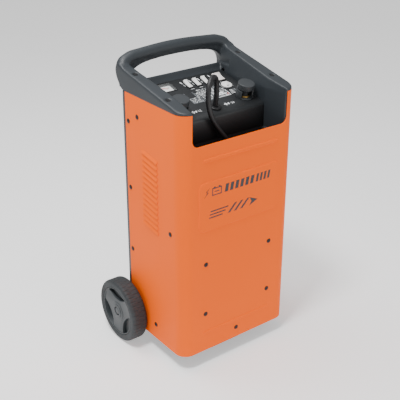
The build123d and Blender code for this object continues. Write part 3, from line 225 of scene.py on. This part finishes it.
# ---- helpers ----------------------------------------------------------------------------------
def finish_piece(piece, look, body=ROOT, smooth=False, angle=35):
    """Gives a mesh object its material, shading and body."""
    piece.data.materials.clear()
    piece.data.materials.append(look)
    piece.data.shade_smooth() if smooth else piece.data.shade_flat()
    if smooth and angle:
        piece.data.set_sharp_from_angle(angle=radians(angle))
    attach(piece, body)
    return piece


def mesh_object(name, points, faces):
    mesh = bpy.data.meshes.new(name)
    mesh.from_pydata([tuple(p) for p in points], [], faces)
    mesh.update()
    obj = bpy.data.objects.new(name, mesh)
    bpy.context.scene.collection.objects.link(obj)
    return obj


def applied(obj):
    """The object with its modifiers applied."""
    graph = bpy.context.evaluated_depsgraph_get()
    mesh = bpy.data.meshes.new_from_object(obj.evaluated_get(graph))
    obj.modifiers.clear()
    obj.data = mesh
    return obj


def cad_copy(name, node):
    """A free copy of a CAD node's mesh, with its flat faces joined up again."""
    mesh = nodes[node].data.copy()
    for layer in [a.name for a in mesh.attributes if a.name == "custom_normal"]:
        mesh.attributes.remove(mesh.attributes[layer])
    obj = bpy.data.objects.new(name, mesh)
    bpy.context.scene.collection.objects.link(obj)
    work = bmesh.new()
    work.from_mesh(mesh)
    bmesh.ops.remove_doubles(work, verts=work.verts, dist=0.00002)
    work.to_mesh(mesh)
    work.free()
    return obj


def softened(node, width):
    """Stands for a CAD node with its sharp edges broken."""
    obj = cad_copy(node + "_soft", node)
    work = bmesh.new()
    work.from_mesh(obj.data)
    bmesh.ops.dissolve_limit(work, angle_limit=radians(1), verts=work.verts, edges=work.edges)
    work.to_mesh(obj.data)
    work.free()
    bevel = obj.modifiers.new("bevel", "BEVEL")
    bevel.width = width
    bevel.segments = 2
    bevel.limit_method = "ANGLE"
    bevel.angle_limit = radians(30)
    bevel.use_clamp_overlap = True
    applied(obj)
    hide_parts(node)
    return finish_piece(obj, looks[node_slot[node]], body_of[node], smooth=True)


# ---- the negative lead -------------------------------------------------------------------------
LEAD_D = 0.012
LEAD_ROUTE = [
    (-2, 93, 603.9), (-2, 86.2, 631.2), (-5, 82, 660), (-11, 77, 681), (-28, 67, 690), (-44, 58, 681),
    (-52, 53, 659), (-51, 51, 630), (-42, 51, 602), (-26, 50, 575), (-6, 46, 549), (7, 39, 524),
]
TAIL_ROUTE = [
    (-53, 34, 427.3), (-82, 34, 417), (-94, 34, 393), (-82, 34, 371), (-58, 34, 361.5), (-34, 34, 361.5),
]
COIL_X, COIL_Z = -26, 478
COIL_TURNS = 10 / 3
COIL_START = 30
# radius and depth of the strand at whole turns: it goes round the four corners of the bundle
STRANDS = [(56.3, 27.7), (43.7, 27.7), (43.7, 40.3), (56.3, 40.3)]
PER_TURN = 24
SHIFT = 0.8                  # the strand changes corner in the last fifth of a turn


def coil_points():
    count = round(COIL_TURNS * PER_TURN)
    for step in range(count):
        turns = step / PER_TURN
        here = STRANDS[int(turns)]
        after = STRANDS[min(int(turns) + 1, len(STRANDS) - 1)]
        part = max(0.0, (turns % 1 - SHIFT) / (1 - SHIFT))
        part = part * part * (3 - 2 * part)
        radius = here[0] + (after[0] - here[0]) * part
        depth = here[1] + (after[1] - here[1]) * part
        phi = radians(COIL_START - 360 * turns)
        yield COIL_X + radius * cos(phi), depth, COIL_Z + radius * sin(phi)


def nurbs_curve(name, points, radius):
    curve = bpy.data.curves.new(name, "CURVE")
    curve.dimensions = "3D"
    curve.bevel_depth = radius
    curve.bevel_resolution = 6
    curve.resolution_u = 8
    curve.use_fill_caps = True
    line = curve.splines.new("NURBS")
    line.points.add(len(points) - 1)
    for knot, point in zip(line.points, points):
        knot.co = (*at(*point), 1)
    line.order_u = 3
    line.use_endpoint_u = True
    obj = bpy.data.objects.new(name, curve)
    bpy.context.scene.collection.objects.link(obj)
    return obj


lead = nurbs_curve("negative_lead_line", [*LEAD_ROUTE, *coil_points(), *TAIL_ROUTE], LEAD_D / 2)
lead.data.materials.append(looks["lead"])
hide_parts("negative_lead", "lead_coil", "lead_tail")
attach(lead, ROOT)

# ---- top moulding: the CAD shape with gussets in the grip's corners, and every edge rounded -----
UNDERSIDE = [(132.5, 640), (132, 652), (130, 662), (125.5, 671), (118, 678.5), (107, 684.5), (92, 689),
             (72, 692), (46, 694), (20, 695), (0, 695.2)]
ARCH = [(-x, z) for x, z in UNDERSIDE] + UNDERSIDE[-2::-1]
ARCH += [(147, 640), (147, 694), (118, 704), (-118, 704), (-147, 694), (-147, 640)]
ARCH_DEPTH = (237, 259)
BACK_WALL = [(222, 638), (228.3, 645), (233, 654), (240, 654), (240, 638)]
BACK_WALL_HALF = 127
VOXEL = 0.0019
ROUNDING_PASSES = 18


def prism(name, near_face, far_face):
    """A solid between two outlines with the same number of points."""
    count = len(near_face)
    faces = [list(range(count)), list(range(2 * count - 1, count - 1, -1))]
    faces += [[i, i + count, (i + 1) % count + count, (i + 1) % count] for i in range(count)]
    obj = mesh_object(name, [*near_face, *far_face], faces)
    work = bmesh.new()
    work.from_mesh(obj.data)
    bmesh.ops.recalc_face_normals(work, faces=work.faces)
    bmesh.ops.triangulate(work, faces=work.faces)
    work.to_mesh(obj.data)
    work.free()
    return obj


def standing(name, side, plan, low, high):
    """A solid with the given plan of (distance from the middle, depth), between two heights."""
    return prism(name, *[[at(side * x, d, z) for x, d in plan] for z in (low, high)])


def relaxed(mesh, passes, weight_at):
    """Moves each vertex towards its neighbours, by a weight that depends on its place."""
    count = len(mesh.vertices)
    spots = np.empty(count * 3)
    mesh.vertices.foreach_get("co", spots)
    spots = spots.reshape(-1, 3)
    ends = np.empty(len(mesh.edges) * 2, int)
    mesh.edges.foreach_get("vertices", ends)
    ends = ends.reshape(-1, 2)
    degree = np.bincount(ends.ravel(), minlength=count)[:, None]
    weight = weight_at(spots)[:, None]
    for _ in range(passes):
        total = np.zeros_like(spots)
        np.add.at(total, ends[:, 0], spots[ends[:, 1]])
        np.add.at(total, ends[:, 1], spots[ends[:, 0]])
        spots += 0.5 * weight * (total / degree - spots)
    mesh.vertices.foreach_set("co", spots.ravel())
    mesh.update()


def step_up(values, low, high):
    part = np.clip((values - low) / (high - low), 0, 1)
    return part * part * (3 - 2 * part)


def moulding_weight(spots):
    """Most rounding outside and on the bar, some on the rails, little on the well and the skirts."""
    across, depth, height = abs(spots[:, 0]) / MM, spots[:, 1] / MM - FRONT_Y, spots[:, 2] / MM
    above = step_up(height, 644 + depth * 0.02, 652 + depth * 0.03)
    round_part = np.maximum(step_up(across, 146, 154), step_up(depth, 212, 228) * step_up(height, 666, 680))
    return 0.06 + 0.94 * above * (0.3 + 0.7 * round_part)


moulding = cad_copy("top_moulding", "handle_frame")
wall_ends = (-BACK_WALL_HALF, BACK_WALL_HALF)
added = [prism("arch", *[[at(x, d, z) for x, z in ARCH] for d in ARCH_DEPTH]),
         prism("back_wall", *[[at(x, d, z) for d, z in BACK_WALL] for x in wall_ends])]
# the walls of the well run on down behind the cover's edge
WALL_FOOT = [(130.4, 3.2), (139, 3.2), (139, 66), (119.8, 66)]
WALL_LEDGE = [(118.2, 3.2), (131, 3.2), (121, 66), (118.2, 66)]
FOOT_BOTTOM, LEDGE_TOP, FOOT_TOP = 530, 541, 572
for side in (-1, 1):
    added += [standing("wall_foot", side, WALL_FOOT, FOOT_BOTTOM, FOOT_TOP),
              standing("wall_ledge", side, WALL_LEDGE, FOOT_BOTTOM, LEDGE_TOP)]
with bpy.context.temp_override(active_object=moulding, selected_editable_objects=[moulding, *added],
                               object=moulding, selected_objects=[moulding, *added]):
    bpy.ops.object.join()
remesh = moulding.modifiers.new("remesh", "REMESH")
remesh.mode = "VOXEL"
remesh.voxel_size = VOXEL
applied(moulding)
relaxed(moulding.data, ROUNDING_PASSES, moulding_weight)
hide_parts("handle_frame")
finish_piece(moulding, looks["moulding"], ROOT, smooth=True, angle=0)

# ---- tyres -------------------------------------------------------------------------------------
low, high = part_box("tyre_left")
TYRE_R = (high.z - low.z) / 2
TYRE_W = high.x - low.x
AXLE = Vector((0, (high.y + low.y) / 2, (high.z + low.z) / 2))
BEAD_R = 0.0615
LUGS = 44
PER_LUG = 8
GROOVE = 0.0011


def tyre_profile():
    """Half-section of the tyre as (share of the width, radius): out along the inside, over the tread."""
    half = TYRE_W / 2
    shoulder = 0.0085
    points = [(-half + 0.004, BEAD_R), (-half + 0.0012, BEAD_R + 0.0016), (-half, BEAD_R + 0.005)]
    points.append((-half + 0.0003, TYRE_R - shoulder - 0.002))
    for step in range(7):
        turn = step / 6 * pi / 2
        points.append((-half + shoulder * (1 - cos(turn * 0.98)) * 0.9, TYRE_R - shoulder * (1 - sin(turn))))
    points.append((-half * 0.3, TYRE_R + 0.0))
    points.append((-half * 0.04, TYRE_R))
    mirrored = [(-x, r) for x, r in reversed(points)]
    return points + mirrored


def build_tyre(side, word):
    profile = tyre_profile()
    rings = LUGS * PER_LUG
    centre = side * (0.2062 - TYRE_W / 2)
    points = []
    for ring in range(rings):
        angle = tau * ring / rings
        for x, radius in profile:
            # cross grooves, half a lug out of step on the two halves of the tread
            phase = (ring + (PER_LUG // 2 if x > 0 else 0)) % PER_LUG
            tread = radius > TYRE_R - 0.0045
            cut = GROOVE if phase == 0 and tread and abs(x) > TYRE_W * 0.015 else 0
            reach = radius - cut
            points.append((centre + x, AXLE.y + reach * cos(angle), AXLE.z + reach * sin(angle)))
    wide = len(profile)
    faces = []
    for ring in range(rings):
        following = (ring + 1) % rings
        for i in range(wide):
            j = (i + 1) % wide
            faces.append([ring * wide + i, ring * wide + j, following * wide + j, following * wide + i])
    tyre = mesh_object("tread_" + word, points, faces)
    work = bmesh.new()
    work.from_mesh(tyre.data)
    bmesh.ops.recalc_face_normals(work, faces=work.faces)
    work.to_mesh(tyre.data)
    work.free()
    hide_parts("tyre_" + word)
    return finish_piece(tyre, looks["tyre"], word + "_wheel", smooth=True, angle=40)


for side, word in ((-1, "left"), (1, "right")):
    build_tyre(side, word)

# ---- pieces that keep their CAD shape, with broken edges ----------------------------------------
SOFT_EDGES = {
    "control_panel": 0.0012, "wheel_rim_left": 0.0011, "wheel_rim_right": 0.0011, "axle_caps": 0.0008,
    "lead_grommet": 0.0008, "terminal_knob_left": 0.0006, "terminal_knob_right": 0.0006,
    "terminal_post_left": 0.0006, "terminal_post_right": 0.0006, "selector_bodies": 0.0005,
    "power_switch_body": 0.0005, "selector_rocker_1": 0.0006, "selector_rocker_2": 0.0006,
    "selector_rocker_3": 0.0006, "power_rocker": 0.0006, "timer_knob": 0.0004,
    "ammeter_housing": 0.0005, "mains_gland": 0.0006, "front_foot": 0.001,
}
for node, width in SOFT_EDGES.items():
    softened(node, width)

# ---- cover screws: domed heads with a cross recess ------------------------------------------------
FRONT_SCREWS = [(-94.1, 276.4), (94.1, 276.4), (-94.1, 143.3), (94.1, 143.3), (0, 67.6)]
SIDE_SCREWS = [(203.2, 576.6), (203.2, 413.0), (203.2, 249.3), (203.2, 120.0),
               (167.0, 596.5), (45.6, 355.8), (110.0, 80.3)]
# radius and height of each ring of a screw's domed head
HEAD_RINGS = [(5.8, 0.0), (5.8, 0.5), (5.4, 1.0), (4.6, 1.5), (3.5, 1.85), (2.7, 2.02),
              (2.4, 2.06), (1.9, 2.1), (1.3, 2.15), (0.7, 2.18)]
HEAD_TURN = 40


def screw_head(centre, outward, sideways, twist):
    """Rings of one head, with the middle pressed in along a cross."""
    third = outward.cross(sideways)
    points = []
    for radius, height in HEAD_RINGS:
        for step in range(HEAD_TURN):
            angle = tau * step / HEAD_TURN
            a, b = radius * cos(angle), radius * sin(angle)
            in_cross = radius < 2.6 and min(abs(a), abs(b)) < 0.55
            rise = 0.9 if in_cross else height
            turned = (a * cos(twist) - b * sin(twist), a * sin(twist) + b * cos(twist))
            points.append(centre + (sideways * turned[0] + third * turned[1] + outward * rise) * MM)
    points.append(centre + outward * 0.9 * MM)
    return points


def build_screws():
    points, faces = [], []
    places = [(at(x, 0, z), Vector((0, -1, 0)), Vector((1, 0, 0))) for x, z in FRONT_SCREWS]
    places += [(at(side * 160, d, z), Vector((side, 0, 0)), Vector((0, 1, 0)))
               for d, z in SIDE_SCREWS for side in (-1, 1)]
    for number, (centre, outward, sideways) in enumerate(places):
        start = len(points)
        points += screw_head(centre, outward, sideways, twist=0.7 * number)
        for ring in range(len(HEAD_RINGS) - 1):
            for step in range(HEAD_TURN):
                near = start + ring * HEAD_TURN
                after = (step + 1) % HEAD_TURN
                faces.append([near + step, near + after, near + HEAD_TURN + after, near + HEAD_TURN + step])
        last = start + (len(HEAD_RINGS) - 1) * HEAD_TURN
        faces += [[last + step, last + (step + 1) % HEAD_TURN, len(points) - 1] for step in range(HEAD_TURN)]
    heads = mesh_object("screw_heads", points, faces)
    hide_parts("cover_screws")
    return finish_piece(heads, looks["black_screw"], ROOT, smooth=True, angle=40)


build_screws()

# ---- printing: thin plates on the panel, the dial, the timer and the front -------------------------
SLOPE_V = Vector((0, 0.9703, 0.2419))
SLOPE_W = Vector((0, -0.2419, 0.9703))


def on_panel(x, v, w):
    return at(0, 64, 600.8) + (Vector((x, 0, 0)) + SLOPE_V * v + SLOPE_W * w) * MM


def on_front(x, z, out):
    return at(x, -1.6 - out, z)


def plates(name, look, outlines, place, low, high, body=ROOT):
    """One mesh of flat printed shapes, each a closed outline."""
    points, faces = [], []
    for outline in outlines:
        start, count = len(points), len(outline)
        points += [place(a, b, low) for a, b in outline] + [place(a, b, high) for a, b in outline]
        faces.append([start + count + i for i in range(count)])
        faces += [[start + i, start + (i + 1) % count, start + count + (i + 1) % count, start + count + i]
                  for i in range(count)]
    made = mesh_object(name, points, faces)
    work = bmesh.new()
    work.from_mesh(made.data)
    bmesh.ops.triangulate(work, faces=[f for f in work.faces if len(f.verts) > 4])
    bmesh.ops.recalc_face_normals(work, faces=work.faces)
    work.to_mesh(made.data)
    work.free()
    return finish_piece(made, inks[look], body)


def bar(x, y, wide, high, skew=0.0):
    return [(x, y), (x + wide, y), (x + wide + skew, y + high), (x + skew, y + high)]


def cross_marks(x, y, size, thick):
    return [bar(x - size / 2, y - thick / 2, size, thick), bar(x - thick / 2, y - size / 2, thick, size)]


def arc_band(centre, radius, thick, start, end, steps=14):
    turns = [radians(start + (end - start) * i / steps) for i in range(steps + 1)]
    inner = [(centre[0] + radius * cos(t), centre[1] + radius * sin(t)) for t in turns]
    outer = [(centre[0] + (radius + thick) * cos(t), centre[1] + (radius + thick) * sin(t)) for t in turns]
    return [[inner[i], inner[i + 1], outer[i + 1], outer[i]] for i in range(steps)]


def spoke(centre, angle, near, far, half):
    """A thin bar that points away from a centre."""
    side = (-sin(angle) * half, cos(angle) * half)
    ends = [(centre[0] + r * cos(angle), centre[1] + r * sin(angle)) for r in (near, far)]
    return [(ends[0][0] - side[0], ends[0][1] - side[1]), (ends[1][0] - side[0], ends[1][1] - side[1]),
            (ends[1][0] + side[0], ends[1][1] + side[1]), (ends[0][0] + side[0], ends[0][1] + side[1])]


def figures(name, words, size, look, place, low):
    """Numbers as thin raised plates. words is a list of (text, x, y)."""
    origin = place(0, 0, low)
    axes = [(place(*unit) - place(0, 0, low)) for unit in ((1, 0, low), (0, 1, low), (0, 0, low + 1))]
    turn = Matrix([axis / MM for axis in axes]).transposed().to_4x4()
    for number, (text, x, y) in enumerate(words):
        curve = bpy.data.curves.new(f"{name}_{number}", "FONT")
        curve.body = text
        curve.size = size * MM
        curve.extrude = 0.00006
        curve.resolution_u = 3
        obj = bpy.data.objects.new(f"{name}_{number}", curve)
        bpy.context.scene.collection.objects.link(obj)
        graph = bpy.context.evaluated_depsgraph_get()
        mesh = bpy.data.meshes.new_from_object(obj.evaluated_get(graph))
        bpy.data.objects.remove(obj)
        mesh.transform(Matrix.Translation(origin) @ turn @ Matrix.Translation(Vector((x, y, 0.06)) * MM))
        piece = bpy.data.objects.new(f"{name}_{number}", mesh)
        bpy.context.scene.collection.objects.link(piece)
        finish_piece(piece, inks[look])


INK = (0.01, 0.12)           # underside and top of the panel's printing, above the panel
SELECTOR_X = (-2.5, 22.3, 47.1)
TIMER = (84, 97)
scatter = random.Random(11)
legend_white, legend_grey, legend_red = [], [], []
# the printed table between the meter and the timer: ruled boxes with short dashes
for row in range(9):
    y = 60.5 + row * 5.3
    reach = (-35, 70) if row < 4 else (-12, 66) if row < 7 else (0, 58)
    x = reach[0]
    while x < reach[1] - 2:
        wide = scatter.uniform(1.6, 6.5)
        tall = scatter.choice((1.3, 1.8, 2.4))
        target = legend_white if scatter.random() < 0.6 else legend_grey
        target.append(bar(x, y, min(wide, reach[1] - x), tall))
        x += wide + scatter.uniform(0.8, 2.6)
legend_white += [bar(29, 58.2, 39, 1.2), bar(29, 58.2, 1.0, 24), bar(68, 58.2, 1.0, 24),
                 bar(29, 82, 40, 0.9), bar(33, 67, 30, 3.2), bar(35, 73, 22, 4.4)]
legend_grey += [bar(-37, 57.6, 62, 0.8), bar(-37, 57.6, 0.8, 44), bar(-14, 57.6, 0.8, 44),
                bar(4, 57.6, 0.8, 50)]
legend_red += [bar(62, 62.5, 4.4, 1.8), bar(64, 66.5, 3.2, 1.5)]
# marks beside the switches, the timer and the terminals
for x in SELECTOR_X:
    legend_white += [bar(x - 11.5, 140, 2.6, 8.5, -1.5), bar(x - 10.4, 128, 1.0, 8)]
    legend_white += [bar(x - 5, 112.5, 10, 1.0)]
legend_white += [bar(68.5, 143, 2.6, 8, -1.5), bar(70, 128, 1.0, 8)]
for tick in range(11):
    legend_white.append(spoke(TIMER, radians(210 - tick * 24), 14.4, 16.6, 0.35))
for row in range(4):
    legend_white.append(bar(73 + row * 0.8, 62 + row * 4.6, 9 + scatter.uniform(0, 5), 1.3, 1.2))
    legend_grey.append(bar(88, 62 + row * 4.6, 6, 1.3, 1.2))
for x in (30.5, -61):
    legend_white += cross_marks(x, 29.5, 9.5, 2.7)
    legend_white += [bar(x + 5.5, 26.4, 3.4, 6.2, 1.6)]
plates("legend_white", "ink_white", legend_white, on_panel, *INK)
plates("legend_grey", "ink_grey", legend_grey, on_panel, *INK)
plates("legend_red", "ink_red", legend_red, on_panel, *INK)
figures("volts", [("24", 45, 26.2), ("12", -48.5, 26.2)], 9.5, "ink_white", on_panel, INK[0])
figures("hours", [("0", 66.5, 88), ("30", 66, 103), ("60", 80, 115.2)], 4.2, "ink_white", on_panel, INK[0])

# the dial: white face in a black surround, with a scale over the needle's sweep
PIVOT = (-66.0, 127.0)
DIAL_W = -5.0                # the dial's face, below the panel
DIAL_INK = (DIAL_W + 0.02, DIAL_W + 0.08)
plates("dial_surround", "ink_black", [bar(-40.8, 124.3, 2.2, 31.4), bar(-93.4, 152.6, 54.8, 3.1)],
       on_panel, DIAL_INK[0], DIAL_W + 0.1)
plates("dial_green", "ink_green", arc_band(PIVOT, 18.6, 2.0, 88, 132), on_panel, *DIAL_INK)
plates("dial_red", "ink_red", arc_band(PIVOT, 18.6, 2.0, 45, 86), on_panel, *DIAL_INK)
# every fifth mark of the scale is longer
ticks = [spoke(PIVOT, radians(135 - number * 9), 21.2, 23.6 if number % 5 else 24.8, 0.22)
         for number in range(11)]
plates("dial_scale", "ink_black", ticks, on_panel, *DIAL_INK)
figures("amperes", [("0", -85, 143), ("50", -69, 146.5), ("100", -52, 142.5)], 4.0, "ink_black",
        on_panel, DIAL_INK[0])

# marks on the timer's knob turn with it
knob_marks = []
for turn_at in (30, 90, 150, 210, 270, 330):
    angle = radians(turn_at)
    knob_marks.append(bar(TIMER[0] + 9.6 * cos(angle) - 0.5, TIMER[1] + 9.6 * sin(angle) - 0.9, 1.0, 1.8))
knob_marks += arc_band(TIMER, 6.4, 0.7, 75, 165) + arc_band(TIMER, 6.4, 0.7, 255, 345)
plates("timer_marks", "ink_grey", knob_marks, on_panel, 3.01, 3.08, "timer")

# front of the cabinet: a spark, a battery and slanting bars in place of the maker's lettering
bolt = [(-101, 446), (-90, 456.5), (-94.5, 457.5), (-86, 467.5), (-97, 459), (-93, 457.8)]
battery = [bar(-80, 446, 27, 2.6), bar(-80, 462, 27, 2.6), bar(-80, 448.6, 2.6, 13.4),
           bar(-55.6, 448.6, 2.6, 13.4), bar(-76, 464.6, 5, 2.6), bar(-62, 464.6, 5, 2.6),
           bar(-73, 454, 13, 2.4)]
row_one = [bolt, *battery]
row_one += [bar(-45 + i * 14.6, 446, 9.4, 19.5, 3.4) for i in range(6)]
row_one += [bar(45 + i * 11.2, 446, 6.6, 19.5, 3.4) for i in range(4)]
row_two = [bar(-84, 407, 50, 3.2, 0.8), bar(-86, 399.5, 44, 3.2, 0.8), bar(-88, 392, 38, 3.2, 0.8)]
row_two += [[(-28, 391), (-8, 412), (-15, 412), (-36, 391)], [(-10, 391), (10, 412), (3, 412), (-18, 391)],
            [(8, 391), (28, 412), (21, 412), (0, 391)], [(28, 391), (52, 401.5), (28, 412), (34, 401.5)]]
plates("front_graphics", "ink_black", row_one + row_two, on_front, 0.01, 0.1)

# ---- floor and light ----------------------------------------------------------------------------
floor = mesh_object("floor", [(-6, -6, 0), (6, -6, 0), (6, 6, 0), (-6, 6, 0)], [[0, 1, 2, 3]])
floor_look = material("floor_look", (0.95, 0.95, 0.95), rough=0.9, mottle=(1, 0.01), grain=(50, 0.02, 0.0005))
floor_shader = next(n for n in floor_look.node_tree.nodes if n.bl_idname == "ShaderNodeBsdfPrincipled")
floor_shader.inputs["Emission Color"].default_value = (1, 1, 1, 1)
floor_shader.inputs["Emission Strength"].default_value = 0.45
floor.data.materials.append(floor_look)

world = bpy.data.worlds.new("studio")
world.use_nodes = True
world.node_tree.nodes["Background"].inputs["Color"].default_value = (1, 1, 1, 1)
world.node_tree.nodes["Background"].inputs["Strength"].default_value = 0.5
bpy.context.scene.world = world


def area_light(name, place, target, size, power):
    """A square lamp, in metres and watts, turned towards its target."""
    lamp = bpy.data.lights.new(name, "AREA")
    lamp.shape = "SQUARE"
    lamp.size = size
    lamp.energy = power
    obj = bpy.data.objects.new(name, lamp)
    obj.location = place
    obj.rotation_euler = (Vector(target) - Vector(place)).to_track_quat("-Z", "Y").to_euler()
    bpy.context.scene.collection.objects.link(obj)


area_light("key", (-0.85, -0.35, 2.5), (-0.1, 0, 0.35), 0.45, 52)
area_light("top", (-0.4, 0.7, 2.2), (0, 0.05, 0.6), 1.0, 20)
area_light("front_fill", (0.9, -2.6, 0.9), (0, 0, 0.3), 1.4, 15)
